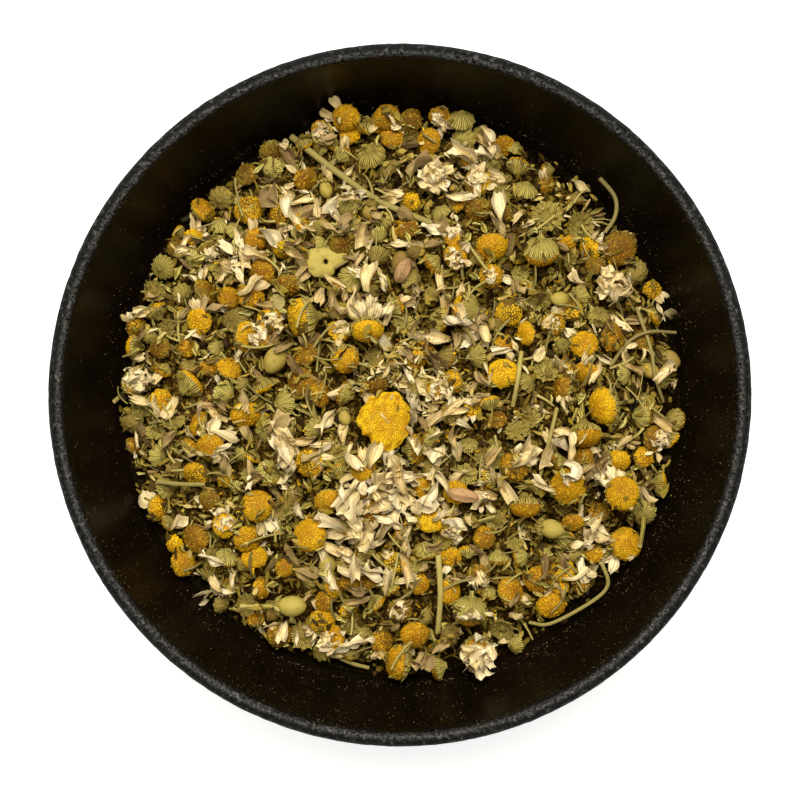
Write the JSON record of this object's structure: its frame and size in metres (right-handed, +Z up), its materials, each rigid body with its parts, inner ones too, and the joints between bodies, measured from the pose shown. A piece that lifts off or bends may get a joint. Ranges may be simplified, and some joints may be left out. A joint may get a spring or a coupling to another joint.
{
  "type": "bowl of dried chamomile flowers",
  "caption": "Round dark stoneware bowl with a rounded rim and a foot ring, heaped with dried chamomile flower heads, cream petals and stalks.",
  "frame": {"origin": "centre of the bowl's foot, on the surface that it stands on", "axes": "+Z up out of the bowl's mouth, +Y towards the top of the picture"},
  "size_m": [0.16, 0.16, 0.058],
  "materials": {
    "stoneware": "rough pitted rim and outside, smooth satin inside",
    "packed_flowers": "dry and matte",
    "disc_florets": "fine grained and matte",
    "bracts": "ribbed and matte",
    "petals": "wrinkled and matte",
    "stalks": "dry and fibrous"
  },
  "bodies": {
    "root": {"bowl": "stoneware", "packed_flowers": "packed_flowers", "conical_head_disc": "disc_florets", "conical_head_cup": "bracts", "round_head_a_disc": "disc_florets", "round_head_a_cup": "bracts", "round_head_b_disc": "disc_florets", "round_head_b_cup": "bracts", "round_head_c_disc": "disc_florets", "round_head_c_cup": "bracts", "round_head_d_disc": "disc_florets", "round_head_d_cup": "bracts", "round_head_e_disc": "disc_florets", "round_head_e_cup": "bracts", "round_head_f_disc": "disc_florets", "round_head_f_cup": "bracts", "nodding_head_a_disc": "disc_florets", "nodding_head_a_cup": "bracts", "nodding_head_b_disc": "disc_florets", "nodding_head_b_cup": "bracts", "nodding_head_c_disc": "disc_florets", "nodding_head_c_cup": "bracts", "side_head_a_disc": "disc_florets", "side_head_a_cup": "bracts", "side_head_b_disc": "disc_florets", "side_head_b_cup": "bracts", "side_head_c_disc": "disc_florets", "side_head_c_cup": "bracts", "turned_head_a_disc": "disc_florets", "turned_head_a_cup": "bracts", "turned_head_b_disc": "disc_florets", "turned_head_b_cup": "bracts", "turned_head_c_disc": "disc_florets", "turned_head_c_cup": "bracts", "large_disc": "disc_florets", "petalled_head_a": "petals", "petalled_head_b": "petals", "petal_cluster": "petals", "bare_receptacle_a": "bracts", "bare_receptacle_b": "bracts", "bare_receptacle_c": "bracts", "bract_rosette_a": "bracts", "bract_rosette_b": "bracts", "stalked_button": "bracts", "green_button": "bracts", "edge_flower": "petals", "small_bud": "bracts", "thick_stalk": "stalks", "upright_stalk": "stalks", "pale_stalk": "stalks", "hooked_stalk": "stalks", "long_thin_stalk": "stalks", "arched_stalk": "stalks", "left_stalk": "stalks", "looped_stalk": "stalks", "fallen_stalk": "stalks", "slanting_stalk": "stalks"}
  },
  "joints": []
}
